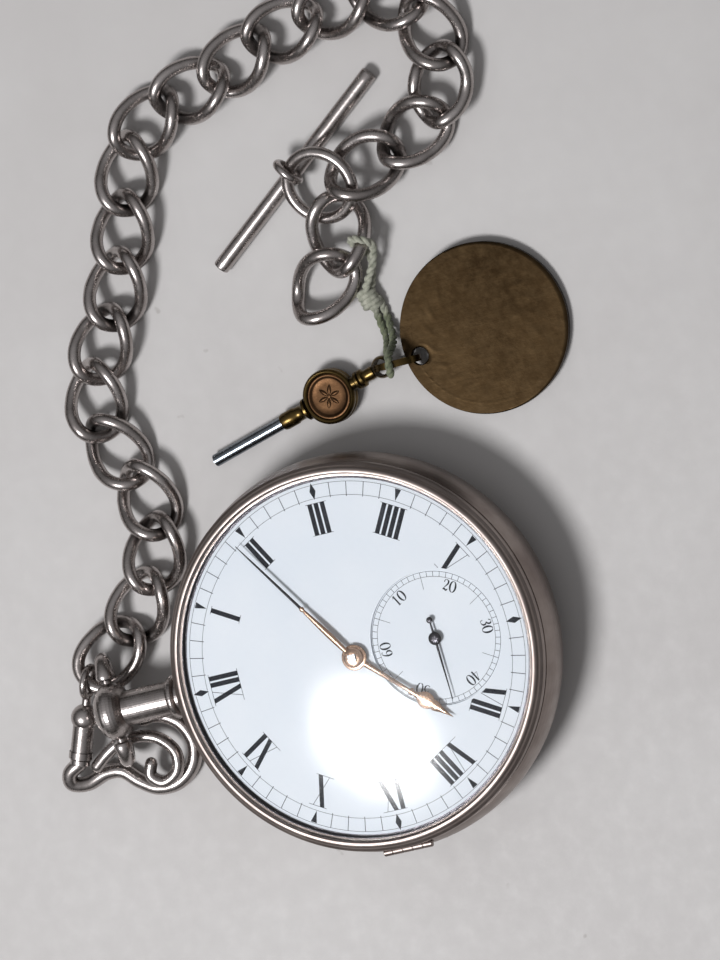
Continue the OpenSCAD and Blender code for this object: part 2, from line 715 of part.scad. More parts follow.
module escape_wheel() {
    color(brass) translate(concat(escape_p, 0)) union() {
        translate([0, 0, escape_wheel_z]) linear_extrude(wheel_t) union() {
            difference() {
                polygon([for (k = [0 : escape_teeth - 1]) each [on_circle(2.8, 24 * k - 5),
                    on_circle(escape_r, 24 * k + 3), on_circle(escape_r, 24 * k + 5), on_circle(2.8, 24 * k + 4)]]);
                circle(r = 2.3, $fn = 40);
            }
            circle(r = 0.8, $fn = 24);
            for (a = [0 : 90 : 270]) rotate(a) translate([0, -0.2]) square([2.5, 0.4]);
        }
        arbor(0.3, back_plate_z, front_plate_z + front_plate_t);
        pinion(escape_leaves, fourth_m, escape_a + 180 + 180 / escape_leaves, 5.9, 1.2);
    }
}

// The lever lies along the line from the escape wheel to the balance
module pallet_fork() {
    color(steel) translate(concat(pallet_p, 0)) rotate([0, 0, lever_a]) union() {
        translate([0, 0, escape_wheel_z]) linear_extrude(wheel_t) union() {
            circle(r = 0.8, $fn = 24);
            translate([0, -0.3]) square([6, 0.6]);
            polygon([[5.8, -0.3], [6.6, -0.8], [7, -0.8], [6.6, -0.3], [6.6, 0.3], [7, 0.8], [6.6, 0.8], [5.8, 0.3]]);
            for (s = [-1, 1]) polygon([[0, s * 0.5], [-0.6, s * 2.8], [-1.3, s * 2.9], [-1.4, s * 2.5],
                [-0.8, s * 2.3], [-0.6, s * 0.3], [-0.6, 0], [0, 0]]);
        }
        arbor(0.3, back_plate_z, front_plate_z + front_plate_t);
    }
}

module balance_wheel() {
    color(brass) translate(concat(balance_p, 0)) union() {
        translate([0, 0, 4.1]) linear_extrude(0.5) union() {
            difference() {
                circle(r = balance_r, $fn = 96);
                circle(r = balance_r - 0.7, $fn = 96);
            }
            translate([-balance_r + 0.3, -0.4]) square([2 * balance_r - 0.6, 0.8]);
            circle(r = 1, $fn = 32);
        }
        for (a = [15 : 30 : 345]) rotate([0, 0, a]) translate([balance_r - 0.1, 0, 4.35]) rotate([0, 90, 0])
            cylinder(r = 0.22, h = 0.5, $fn = 16);
        translate([0, 0, cock_z + 0.1]) cylinder(r = 0.2, h = 6.6, $fn = 24);
        translate([0, 0, cock_z + 1]) cylinder(r = 0.4, h = 4.6, $fn = 24);
        translate([0, 0, escape_wheel_z + 0.5]) cylinder(r = 1.4, h = 0.3, $fn = 40);
        rotate([0, 0, lever_a]) translate([1, 0, escape_wheel_z]) cylinder(r = 0.18, h = 0.6, $fn = 16);
    }
}

module hairspring() {
    color(blue_steel) translate(concat(balance_p, 3.83)) linear_extrude(0.18) polygon(spiral(0.6, 3.3, 8, 0.1));
}

module balance_cock() {
    color(brass) difference() {
        translate([0, 0, cock_z]) union() {
            hull() {
                translate(concat(balance_p, 0)) cylinder(r = 1.6, h = 0.6, $fn = 32);
                translate([-17, 8.6, 0]) cylinder(r = 1.9, h = 0.6, $fn = 32);
            }
            translate([-15.6, 9.8, 0]) cylinder(r = 1.4, h = back_plate_z - cock_z, $fn = 32);
        }
        translate(concat(balance_p, 0)) cylinder(r = 0.2 + pivot_gap, h = 20, $fn = 24);
    }
}

// ---- Motion work ----
module cannon_pinion() {
    color(steel) difference() {
        union() {
            pinion(cannon_leaves, cannon_m, minute_wheel_a, motion_z, 0.4);
            translate([0, 0, motion_z]) cylinder(r = 0.6, h = 2.85, $fn = 32);
            translate([-0.5, -0.5, 12.7]) cube([1, 1, 0.5]);
        }
        translate([0, 0, motion_z - 1]) cylinder(r = 0.42, h = 3.8, $fn = 32);
    }
}

module minute_wheel() {
    color(brass) translate(concat(minute_wheel_p, 0)) union() {
        translate([0, 0, motion_z + 0.02]) linear_extrude(0.3)
            polygon(gear_outline(minute_teeth, cannon_m, minute_wheel_a + 180 + 180 / minute_teeth));
        pinion(minute_leaves, hour_m, minute_wheel_a + 180, motion_z + 0.3, 0.5);
        translate([0, 0, 9]) cylinder(r = 0.25, h = 1.5, $fn = 24);
    }
}

module hour_wheel() {
    color(brass) difference() {
        union() {
            translate([0, 0, motion_z + 0.45]) linear_extrude(0.3)
                polygon(gear_outline(hour_teeth, hour_m, minute_wheel_a + 180 / hour_teeth));
            translate([0, 0, motion_z + 0.45]) cylinder(r = 1.03, h = 2, $fn = 40);
        }
        translate([0, 0, motion_z]) cylinder(r = 0.68, h = 4, $fn = 40);
    }
}

back_cover();
dust_cover();
case_band();
bezel();
crystal();
pendant();
hinge_pins();
dial();
seconds_dial();
hour_hand();
minute_hand();
seconds_hand();
front_plate();
back_plate();
pillars();
plate_screws();
barrel();
mainspring();
barrel_arbor();
ratchet_wheel();
click();
centre_wheel();
centre_arbor();
third_wheel();
fourth_wheel();
escape_wheel();
pallet_fork();
balance_wheel();
hairspring();
balance_cock();
cannon_pinion();
minute_wheel();
hour_wheel();
bow();
swivel_barrel();
swivel_hook();
swivel_gate();
jump_ring();
toggle_bar();
drop_link(0);  // drop_link_1
drop_link(1);  // drop_link_2
thread();
split_ring();
key_head();
key_medallion();
key_tube();
token();
for (i = [0 : len(CHAIN) - 1]) chain_pair(i);
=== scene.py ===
import math
import random
from math import cos, sin, pi, radians

import bpy
from mathutils import Matrix, Vector

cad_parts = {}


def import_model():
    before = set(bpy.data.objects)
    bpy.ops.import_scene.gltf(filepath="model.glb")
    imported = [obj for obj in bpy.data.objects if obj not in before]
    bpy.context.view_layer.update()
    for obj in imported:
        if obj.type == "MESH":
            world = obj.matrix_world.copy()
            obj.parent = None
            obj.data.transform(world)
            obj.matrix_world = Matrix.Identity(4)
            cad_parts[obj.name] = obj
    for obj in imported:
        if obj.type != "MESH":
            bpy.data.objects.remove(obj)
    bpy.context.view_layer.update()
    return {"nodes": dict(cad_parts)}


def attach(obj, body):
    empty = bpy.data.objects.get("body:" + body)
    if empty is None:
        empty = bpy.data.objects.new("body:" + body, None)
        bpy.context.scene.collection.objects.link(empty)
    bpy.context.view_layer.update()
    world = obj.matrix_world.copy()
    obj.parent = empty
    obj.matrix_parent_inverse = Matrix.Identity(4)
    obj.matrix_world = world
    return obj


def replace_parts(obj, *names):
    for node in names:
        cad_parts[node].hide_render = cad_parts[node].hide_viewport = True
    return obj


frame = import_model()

MM = 0.001
scene = bpy.context.scene
nodes = frame["nodes"]


# ---------------------------------------------------------------- camera
def make_camera():
    az, el = radians(5.2), radians(70.4)
    back = Vector((sin(az) * cos(el), -cos(az) * cos(el), sin(el)))
    right = Vector((cos(az), sin(az), 0))
    up = back.cross(right)
    cam_right = -0.334 * right - 0.943 * up
    cam_up = 0.943 * right - 0.334 * up
    data = bpy.data.cameras.new("camera")
    cam = bpy.data.objects.new("camera", data)
    scene.collection.objects.link(cam)
    distance = 0.6
    field = 0.1258
    data.sensor_width = 36
    data.lens = 36 * distance / field
    data.clip_start, data.clip_end = 0.02, 10
    target = Vector((21.65, -2.6, 0)) * MM
    m = Matrix((cam_right, cam_up, back)).transposed().to_4x4()
    m.translation = target + back * distance
    cam.matrix_world = m
    scene.camera = cam


make_camera()


# ---------------------------------------------------------------- shapes
def unit(v):
    return v / v.length


def spline(points, steps):
    """Points of a smooth curve through given ones."""
    p = [Vector(q) for q in points]
    out = []
    for i in range(len(p) - 1):
        a, b, c, d = p[max(i - 1, 0)], p[i], p[i + 1], p[min(i + 2, len(p) - 1)]
        for k in range(steps):
            t = k / steps
            out.append(0.5 * (2 * b + (c - a) * t + (2 * a - 5 * b + 4 * c - d) * t * t
                              + (3 * b - a - 3 * c + d) * t ** 3))
    return out + [p[-1]]


class Shape:
    """A mesh put together from swept, turned and flat parts, in millimetres."""

    def __init__(self):
        self.v, self.f, self.m = [], [], []

    def add(self, verts, faces, slot=0):
        n = len(self.v)
        self.v += [Vector(q) for q in verts]
        self.f += [[n + i for i in q] for q in faces]
        self.m += [slot] * len(faces)

    def grid(self, rings, closed=False, slot=0, caps=True, flip=False):
        """Skin over rings of points, each ring closed."""
        n, s = len(rings), len(rings[0])
        faces = []
        for i in range(n if closed else n - 1):
            j = (i + 1) % n
            for k in range(s):
                m = (k + 1) % s
                faces.append([i * s + k, i * s + m, j * s + m, j * s + k])
        if caps and not closed:
            faces.append(list(range(s - 1, -1, -1)))
            faces.append([(n - 1) * s + k for k in range(s)])
        if flip:
            faces = [q[::-1] for q in faces]
        self.add([q for r in rings for q in r], faces, slot)

    def wire(self, pts, r, sides=20, closed=False, ups=None, slot=0, squash=1.0, ends=False):
        """Round wire along points; r is a number or one number for each point."""
        n = len(pts)
        rs = r if isinstance(r, (list, tuple)) else [r] * n
        rings, up = [], None
        for i, p in enumerate(pts):
            a = pts[i - 1] if closed or i else pts[0]
            b = pts[(i + 1) % n] if closed or i < n - 1 else pts[-1]
            t = unit(b - a)
            if ups is not None:
                up = ups[i]
            elif up is None:
                up = Vector((0, 0.2, 1)) if abs(t.z) < 0.9 else Vector((1, 0, 0))
            q = unit(up - up.dot(t) * t)
            s = t.cross(q)
            up = q
            rings.append([p + rs[i] * (cos(2 * pi * k / sides) * q * squash + sin(2 * pi * k / sides) * s)
                          for k in range(sides)])
        if ends and not closed:
            def dome(i, sign):
                t = unit(pts[i] - pts[i + (1 if sign < 0 else -1)])
                out = []
                for a in (30, 55, 75, 88):
                    c = pts[i]
                    out.append([c + (q - c) * cos(radians(a)) + t * rs[i] * sin(radians(a))
                                for q in rings[i]])
                return out
            rings = dome(0, -1)[::-1] + rings + dome(n - 1, 1)
        self.grid(rings, closed, slot)

    def turn(self, profile, matrix=None, segments=96, slot=0, closed=False):
        """Body of revolution about local z from radius and height pairs."""
        matrix = matrix or Matrix.Identity(4)
        rings = [[matrix @ Vector((r * cos(2 * pi * k / segments), r * sin(2 * pi * k / segments), z))
                  for k in range(segments)] for r, z in profile]
        self.grid(rings, closed, slot, caps=not closed)

    def plate(self, outline, z0, z1, matrix=None, slot=0, bevel=0.0):
        """Flat plate with a star-shaped or convex outline, its top edge set in by bevel."""
        matrix = matrix or Matrix.Identity(4)
        n = len(outline)
        c = Vector((sum(p[0] for p in outline) / n, sum(p[1] for p in outline) / n))
        loops = [[(p[0], p[1], z0) for p in outline], [(p[0], p[1], z1 - bevel) for p in outline]]
        if bevel:
            top = []
            for p in outline:
                d = Vector(p[:2]) - c
                q = c + d * max(0.0, 1 - bevel / max(d.length, 1e-6))
                top.append((q.x, q.y, z1))
            loops.append(top)
        self.grid([[matrix @ Vector(p) for p in q] for q in loops], False, slot)

    def place(self, name, body, slot, mats, smooth=35, recalc=True):
        me = bpy.data.meshes.new(name)
        me.from_pydata([tuple(q * MM) for q in self.v], [], self.f)
        for m in mats if isinstance(mats, (list, tuple)) else [mats]:
            me.materials.append(m)
        me.polygons.foreach_set("material_index", self.m)
        me.validate()
        if recalc:
            import bmesh
            bm = bmesh.new()
            bm.from_mesh(me)
            bmesh.ops.remove_doubles(bm, verts=bm.verts, dist=1e-8)
            bmesh.ops.recalc_face_normals(bm, faces=bm.faces)
            bm.to_mesh(me)
            bm.free()
        if smooth:
            me.shade_smooth()
            me.set_sharp_from_angle(angle=radians(smooth))
        o = bpy.data.objects.new(name, me)
        scene.collection.objects.link(o)
        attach(o, body)
        return o


# ---------------------------------------------------------------- materials
class Mat:
    """A node material around one Principled shader."""

    def __init__(self, name, **plain):
        self.m = bpy.data.materials.new(name)
        self.m.use_nodes = True
        self.t = self.m.node_tree
        self.b = self.t.nodes["Principled BSDF"]
        for k, v in plain.items():
            self.b.inputs[k.replace("_", " ")].default_value = v
        self.co = self.n("ShaderNodeTexCoord").outputs["Object"]

    def n(self, kind, sets=None, **ins):
        q = self.t.nodes.new(kind)
        for k, v in (sets or {}).items():
            setattr(q, k, v)
        for k, v in ins.items():
            s = q.inputs[int(k[1:])] if k[0] == "i" and k[1:].isdigit() else q.inputs[k.replace("_", " ")]
            if isinstance(v, bpy.types.NodeSocket):
                self.t.links.new(v, s)
            else:
                s.default_value = v
        return q

    def noise(self, scale, detail=3, rough=0.55, at=None, stretch=None):
        at = at or self.co
        if stretch:
            at = self.n("ShaderNodeVectorMath", {"operation": "MULTIPLY"}, i0=at, i1=stretch).outputs[0]
        return self.n("ShaderNodeTexNoise", Vector=at, Scale=scale, Detail=detail, Roughness=rough).outputs[0]

    def ramp(self, fac, *stops):
        q = self.n("ShaderNodeValToRGB", Fac=fac)
        e = q.color_ramp.elements
        while len(e) < len(stops):
            e.new(0.5)
        for k, (p, c) in zip(e, stops):
            k.position = p
            k.color = (*c, 1) if isinstance(c, tuple) else (c, c, c, 1)
        return q.outputs[0]

    def mix(self, fac, a, b, blend="MIX"):
        q = self.n("ShaderNodeMix", {"data_type": "RGBA", "blend_type": blend})
        for i, v in ((0, fac), (6, a), (7, b)):
            if isinstance(v, bpy.types.NodeSocket):
                self.t.links.new(v, q.inputs[i])
            else:
                q.inputs[i].default_value = (*v, 1) if isinstance(v, tuple) else v
        return q.outputs[2]

    def math(self, op, a, b=0.0):
        return self.n("ShaderNodeMath", {"operation": op}, i0=a, i1=b).outputs[0]

    def bump(self, height, strength, distance):
        q = self.n("ShaderNodeBump", Height=height, Strength=strength, Distance=distance)
        old = self.b.inputs["Normal"]
        if old.links:
            self.t.links.new(old.links[0].from_socket, q.inputs["Normal"])
        self.t.links.new(q.outputs[0], old)

    def to(self, name, socket):
        self.t.links.new(socket, self.b.inputs[name])

    def crevice(self, distance):
        q = self.n("ShaderNodeAmbientOcclusion", {"samples": 4, "only_local": True}, Distance=distance)
        return q.outputs["AO"]


def metal(name, bright, mid, dark, rough=(0.25, 0.45), scale=260, crevice=0.0012, tarnish_shade_weight=0.5, scratch=0.25,
          along=(1, 0.07, 1)):
    """Worn metal, bright on the edges and darker in the hollows, with fine scratches; the hollows are
    darkened by an occlusion mask, tarnish and painted shade together.
    """
    a = Mat(name, Metallic=1.0)
    patches = a.noise(scale, 4, 0.6)
    col = a.mix(a.ramp(patches, (0.3, 0.0), (0.72, 1.0)), bright, mid)
    # painted shade with tarnish: the occlusion mask, made patchy by noise, darkens the hollows towards the
    # dark colour
    ao = a.crevice(crevice)
    tarnish_and_painted_shade = a.math("MULTIPLY", a.ramp(ao, (0.25, 1.0), (0.95, 0.0)),
                  a.ramp(a.noise(scale * 3), (0.2, 0.5), (0.6, 1.0)))
    col = a.mix(a.math("MULTIPLY", tarnish_and_painted_shade, tarnish_shade_weight * 2), col, dark)
    a.to("Base Color", col)
    fine = a.noise(scale * 5, 3, 0.7)
    a.to("Roughness", a.math("ADD", a.ramp(fine, (0.25, rough[0]), (0.75, rough[1])),
                             a.math("MULTIPLY", tarnish_and_painted_shade, 0.2)))
    a.bump(a.noise(2400, 2, 0.6, stretch=along), scratch, 0.00002)
    a.bump(a.noise(scale * 2, 4, 0.5), scratch * 0.7, 0.00006)
    return a.m


SILVER = metal("silver", (0.53, 0.49, 0.475), (0.33, 0.295, 0.28), (0.04, 0.032, 0.028), (0.2, 0.33), 260,
               0.002, 0.7)
SILVER_CASE = metal("silver_case", (0.36, 0.31, 0.285), (0.21, 0.17, 0.155), (0.04, 0.03, 0.025),
                    (0.3, 0.46), 110,
                    along=(1, 1, 0.05))
GILT = metal("gilt_brass", (0.85, 0.66, 0.34), (0.72, 0.53, 0.25), (0.2, 0.12, 0.05), (0.32, 0.5), 300)
BRASS = metal("old_brass", (0.15, 0.10, 0.035), (0.07, 0.046, 0.017), (0.012, 0.008, 0.004), (0.22, 0.36),
              300, 0.0015, 0.8)
STEEL = metal("steel", (0.30, 0.335, 0.37), (0.14, 0.16, 0.185), (0.03, 0.03, 0.035), (0.16, 0.3), 500)
BLUED = metal("blued_steel", (0.03, 0.04, 0.08), (0.02, 0.025, 0.05), (0.01, 0.01, 0.02), (0.25, 0.4), 500)
GOLD = metal("gold", (0.52, 0.34, 0.24), (0.42, 0.27, 0.19), (0.15, 0.08, 0.05), (0.22, 0.38), 600)


def coin():
    """Dark worn brass of the token, mottled, paler where it is rubbed."""
    a = Mat("token_brass", Metallic=1.0)
    big = a.ramp(a.noise(95, 5, 0.62), (0.32, 0.0), (0.66, 1.0))
    col = a.mix(big, (0.020, 0.012, 0.0055), (0.042, 0.026, 0.012))
    col = a.mix(a.ramp(a.noise(700, 4, 0.7), (0.4, 0.0), (0.75, 0.6)), col, (0.058, 0.038, 0.019))
    # painted shade with tarnish: the occlusion mask darkens the token's hollows
    ao = a.crevice(0.0008)
    col = a.mix(a.ramp(ao, (0.4, 0.8), (0.95, 0.0)), col, (0.03, 0.02, 0.01))
    a.to("Base Color", col)
    a.to("Roughness", a.ramp(a.noise(420, 4), (0.3, 0.34), (0.7, 0.52)))
    a.bump(a.noise(330, 5, 0.6), 0.35, 0.00012)
    a.bump(a.noise(2600, 2, 0.6, stretch=(1, 0.1, 1)), 0.25, 0.00002)
    return a.m


TOKEN = coin()
COPPER = metal("medallion_brass", (0.085, 0.045, 0.022), (0.05, 0.026, 0.013), (0.006, 0.004, 0.003),
               (0.3, 0.5), 600, 0.0006, 0.8)


def enamel():
    a = Mat("enamel", Specular_IOR_Level=0.12)
    a.to("Base Color", a.mix(a.ramp(a.noise(90, 4), (0.35, 0.0), (0.7, 1.0)), (0.76, 0.80, 0.86),
                             (0.80, 0.83, 0.88)))
    a.to("Roughness", a.ramp(a.noise(700), (0.3, 0.5), (0.7, 0.62)))
    a.bump(a.noise(160, 2), 0.05, 0.00005)
    return a.m


def ink():
    a = Mat("ink", Specular_IOR_Level=0.15)
    a.to("Base Color", a.ramp(a.noise(2500, 3), (0.35, (0.004, 0.005, 0.009)), (0.8, (0.016, 0.018, 0.026))))
    a.to("Roughness", a.ramp(a.noise(1800), (0.3, 0.55), (0.7, 0.7)))
    return a.m


def glass():
    """Old thin glass: clear, with one soft reflection from its slightly worn skin."""
    a = Mat("crystal", Transmission_Weight=1.0, IOR=1.03, Base_Color=(1, 1, 1, 1), Coat_Weight=0.36,
            Coat_IOR=1.5)
    t = a.t
    a.to("Roughness", a.ramp(a.noise(300, 3), (0.5, 0.0), (0.9, 0.01)))
    a.to("Coat Roughness", a.ramp(a.noise(240, 3), (0.3, 0.12), (0.7, 0.15)))
    clear = a.n("ShaderNodeBsdfTransparent", Color=(0.97, 0.98, 0.98, 1))
    path = a.n("ShaderNodeLightPath")
    ray = a.math("MAXIMUM", path.outputs["Is Shadow Ray"], path.outputs["Is Diffuse Ray"])
    mix = a.n("ShaderNodeMixShader", i0=ray)
    t.links.new(a.b.outputs[0], mix.inputs[1])
    t.links.new(clear.outputs[0], mix.inputs[2])
    t.links.new(mix.outputs[0], t.nodes["Material Output"].inputs["Surface"])
    return a.m


ENAMEL, INK, CRYSTAL = enamel(), ink(), glass()


def cotton():
    """Old thread, pale where it is coiled and knotted, darker green in the strands that hold the ring."""
    a = Mat("cotton", Sheen_Weight=0.2)
    x = a.n("ShaderNodeSeparateXYZ", Vector=a.co).outputs[0]
    col = a.mix(a.ramp(a.noise(1500, 4), (0.3, 0.0), (0.7, 1.0)), (0.20, 0.21, 0.16), (0.46, 0.46, 0.38))
    green = a.mix(a.ramp(a.noise(1500, 4), (0.3, 0.0), (0.7, 1.0)), (0.07, 0.085, 0.05), (0.21, 0.23, 0.14))
    place = a.n("ShaderNodeMapRange", Value=x, From_Min=0.0415, From_Max=0.0425).outputs[0]
    a.to("Base Color", a.mix(place, green, col))
    a.to("Roughness", a.ramp(a.noise(2600), (0.3, 0.8), (0.7, 0.95)))
    a.bump(a.noise(4200, 3, 0.8), 0.6, 0.0001)
    return a.m


COTTON = cotton()

# ---------------------------------------------------------------- thread
THREAD = [(44.6, -9.9, 1.4), (46.6, -11.4, 2.4), (48.6, -12.8, 2.8), (50.6, -13.5, 3.2), (51.3, -13.6, 4.5),
          (52, -12.6, 5.1), (52.3, -11.4, 4.6), (51.8, -10.9, 3.3), (51, -11.5, 2.3), (49.4, -12.2, 1.3),
          (47, -11.6, 0.8), (44.4, -10.8, 0.8), (41.4, -11, 0.6), (38.8, -11.6, 1.4),
          (36.9, -12.1, 4.2), (35.3, -12.4, 5.4), (34.1, -12.6, 6.5), (35.3, -13, 7.5), (36.7, -13, 6.2),
          (38.3, -12.8, 2.6), (41.2, -12.2, 0.6), (44.2, -11.8, 0.9)]


def twisted(shape, path, offset, r, turn):
    """Two plies wound round a path, one full turn in each length turn."""
    for ply in (0, pi):
        pts, run, up = [], 0.0, None
        for i, q in enumerate(path):
            t = unit(path[min(i + 1, len(path) - 1)] - path[max(i - 1, 0)])
            if up is None:
                up = Vector((0, 0.2, 1))
            up = unit(up - up.dot(t) * t)
            side = t.cross(up)
            if i:
                run += (q - path[i - 1]).length
            a = ply + 2 * pi * run / turn
            pts.append(q + offset * (cos(a) * up + sin(a) * side))
        shape.wire(pts, r, 10, ends=True)


def make_thread():
    path = spline(THREAD, 16)
    s = Shape()
    twisted(s, path, 0.22, 0.32, 2.2)
    cord = s.place("cotton_thread", "fob_ring", "thread", COTTON)
    # the knot that binds the two strands together
    s = Shape()
    c, axis = Vector((44.2, -10.6, 1.25)), unit(Vector((3.5, 0.9, 0.2)))
    up = unit(Vector((0, 0, 1)) - axis.z * axis)
    side = axis.cross(up)
    wraps = []
    for k in range(4 * 24 + 1):
        a = 2 * pi * k / 24
        wraps.append(c + axis * (k / 24 - 2) * 0.62 + 0.72 * cos(a) * up + 1.05 * sin(a) * side)
    s.wire(wraps, 0.36, 12, ends=True)
    knot = s.place("thread_knot", "fob_ring", "thread", COTTON)
    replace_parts(cord, "thread")


make_thread()


# ---------------------------------------------------------------- floor and light
def floor():
    me = bpy.data.meshes.new("table")
    me.from_pydata([(-2, -2, 0), (2, -2, 0), (2, 2, 0), (-2, 2, 0)], [], [(0, 1, 2, 3)])
    o = bpy.data.objects.new("table", me)
    o.location.z = -0.00003
    scene.collection.objects.link(o)
    a = Mat("table_top")
    a.to("Base Color", a.mix(a.ramp(a.noise(25, 5), (0.3, 0.0), (0.7, 1.0)), (0.50, 0.482, 0.472),
                             (0.55, 0.536, 0.526)))
    specks = a.ramp(a.noise(330, 2, 0.4), (0.755, 0.0), (0.80, 0.55))
    a.to("Base Color", a.mix(specks, a.b.inputs["Base Color"].links[0].from_socket, (0.30, 0.28, 0.26)))
    a.to("Roughness", a.ramp(a.noise(400), (0.3, 0.55), (0.7, 0.7)))
    a.bump(a.noise(900, 3), 0.1, 0.0001)
    me.materials.append(a.m)


def lamp(name, direction, distance, size, power, colour=(1, 1, 1)):
    data = bpy.data.lights.new(name, "AREA")
    data.shape = "ELLIPSE"
    data.size, data.size_y = size
    data.energy = power
    data.color = colour
    o = bpy.data.objects.new(name, data)
    d = unit(Vector(direction))
    o.location = d * distance
    o.rotation_mode = "QUATERNION"
    o.rotation_quaternion = d.to_track_quat("Z", "Y")
    scene.collection.objects.link(o)


def world():
    """Plain soft room: a pale ceiling that falls off to dark walls."""
    w = bpy.data.worlds.new("studio")
    scene.world = w
    w.use_nodes = True
    t = w.node_tree
    co = t.nodes.new("ShaderNodeTexCoord")
    sep = t.nodes.new("ShaderNodeSeparateXYZ")
    ramp = t.nodes.new("ShaderNodeValToRGB")
    t.links.new(co.outputs["Generated"], sep.inputs[0])
    t.links.new(sep.outputs[2], ramp.inputs[0])
    e = ramp.color_ramp.elements
    e[0].position, e[0].color = 0.2, (0.035, 0.032, 0.03, 1)
    e[1].position, e[1].color = 0.95, (0.42, 0.42, 0.43, 1)
    t.links.new(ramp.outputs[0], t.nodes["Background"].inputs[0])
    t.nodes["Background"].inputs[1].default_value = 1.0


floor()
lamp("window", (-0.265, 0.32, 0.91), 0.8, (0.25, 0.2), 5.3, (0.985, 0.985, 1.0))
world()
scene.view_settings.view_transform = "Standard"


# ---------------------------------------------------------------- materials on the carried-over nodes
def dress(material, *names):
    for n in names:
        me = nodes[n].data
        me.materials.clear()
        me.materials.append(material)


dress(SILVER_CASE, "back_cover", "dust_cover", "case_band", "bezel", "hinge_pins")
dress(SILVER, "pendant", "swivel_barrel", "jump_ring", "toggle_bar")
dress(GILT, "front_plate", "back_plate", "pillars", "balance_cock", "barrel", "centre_wheel", "third_wheel",
      "fourth_wheel", "escape_wheel", "minute_wheel", "hour_wheel", "balance_wheel")
dress(BLUED, "plate_screws", "hairspring", "mainspring", "click")
dress(STEEL, "barrel_arbor", "ratchet_wheel", "centre_arbor", "cannon_pinion", "pallet_fork", "key_tube")
dress(BRASS, "split_ring")
dress(ENAMEL, "dial", "seconds_dial")
dress(CRYSTAL, "crystal")

# ---------------------------------------------------------------- chain
LINK_LEN, LINK_W, LINK_D = 11.65, 8.8, 1.75
LINK_A, LINK_B = (LINK_LEN - LINK_D) / 2, (LINK_W - LINK_D) / 2
PITCH = LINK_LEN - 2 * LINK_D - 0.45
CHAIN_Z = 2.4
CHAIN_TURNS = (-55, -40, -25, 12.5, 26, -11, -36, -24.5, -21, -19, -58, -84, -63, -83.5, -76, -119, -162, 155,
               112, 108.5)
CHAIN_START = (5, 39.9)
DROP_TURNS, DROP_START = (169, 124), (57.2, -10.05)


def spow(v, p):
    return math.copysign(abs(v) ** p, v)


def link(shape, centre, heading, tilt, roll0, roll1, lift):
    """One twisted oval link."""
    m = (Matrix.Translation(Vector((centre[0], centre[1], CHAIN_Z + lift)))
         @ Matrix.Rotation(radians(heading), 4, "Z") @ Matrix.Rotation(radians(tilt), 4, "Y"))
    pts, ups = [], []
    n = 72
    seam = 18 + 3 * sin(5 * centre[0])
    for k in range(n):
        a = 2 * pi * (k + 0.5) / n
        t, y = spow(cos(a), 0.85), LINK_B * spow(sin(a), 0.85)
        q = radians((roll1 - roll0) / 2 * t + (roll0 + roll1) / 2 * t * t)
        pts.append(m @ Vector((LINK_A * t, y * cos(q), y * sin(q))))
        ups.append(m.to_3x3() @ Vector((0, -sin(q), cos(q))))
    # the soldered joint on one long side is a hair thicker
    radii = [LINK_D / 2 + 0.035 * math.exp(-((k - seam) / 0.9) ** 2) for k in range(n)]
    shape.wire(pts, radii, 20, closed=True, ups=ups)


def along(start, turns):
    p = [Vector(start)]
    for h in turns:
        p.append(p[-1] + PITCH * Vector((cos(radians(h)), sin(radians(h)))))
    return p


def make_chain():
    p = along(CHAIN_START, CHAIN_TURNS)
    last = len(CHAIN_TURNS) - 1
    for node in range(10):
        s = Shape()
        for i in (2 * node, 2 * node + 1):
            first = i == 0
            link(s, (p[i] + p[i + 1]) / 2, CHAIN_TURNS[i],
                 12.7 if first else -12.5 if i == last else 0,
                 0 if first else -45 if i > last - 2 else 45, -38 if first else -45 if i < last - 2 else 45,
                 0.4 if first else 1.15 if i == last else 0)
        n = "chain_%02d" % (node + 1)
        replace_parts(s.place("links_%02d" % (node + 1), n, "silver", SILVER), n)
    d = along(DROP_START, DROP_TURNS)
    for i, (tilt, lift) in enumerate(((-3, 0.4), (4, 0.3))):
        s = Shape()
        link(s, (d[i] + d[i + 1]) / 2, DROP_TURNS[i], tilt, -45, 45, lift)
        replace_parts(s.place("drop_%d" % (i + 1), "drop_%d" % (i + 1), "silver", SILVER),
                    "drop_link_%d" % (i + 1))


make_chain()


# ---------------------------------------------------------------- bow, hook and gate
BOW_FOLD, PENDANT = radians(71), Vector((0, 36.5, 7.2))


def make_bow():
    ends = [(2.4, 0.7), (4.2, 0.7), (4.26, 1.0), (4.4, 1.2), (4.7, 1.3), (5.0, 1.26), (5.3, 1.15)]
    pts = [PENDANT + Vector((x, 0, 0)) for x, _ in ends]
    radii = [w for _, w in ends]
    for k in range(0, 113):
        a = radians(-22 + 2 * k)
        d = 2.6 + 3.9 * spow(sin(a), 0.85)
        pts.append(PENDANT + Vector((6.9 * spow(cos(a), 0.75), d * cos(BOW_FOLD), -d * sin(BOW_FOLD))))
        radii.append(0.95 + 0.1 * max(0, 1 - min(k, 112 - k) / 8))
    pts += [PENDANT - Vector((x, 0, 0)) for x, _ in ends[::-1]]
    radii += [w for _, w in ends[::-1]]
    s = Shape()
    s.wire(pts, radii, 24)
    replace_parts(s.place("bow_wire", "bow", "silver", SILVER), "bow")


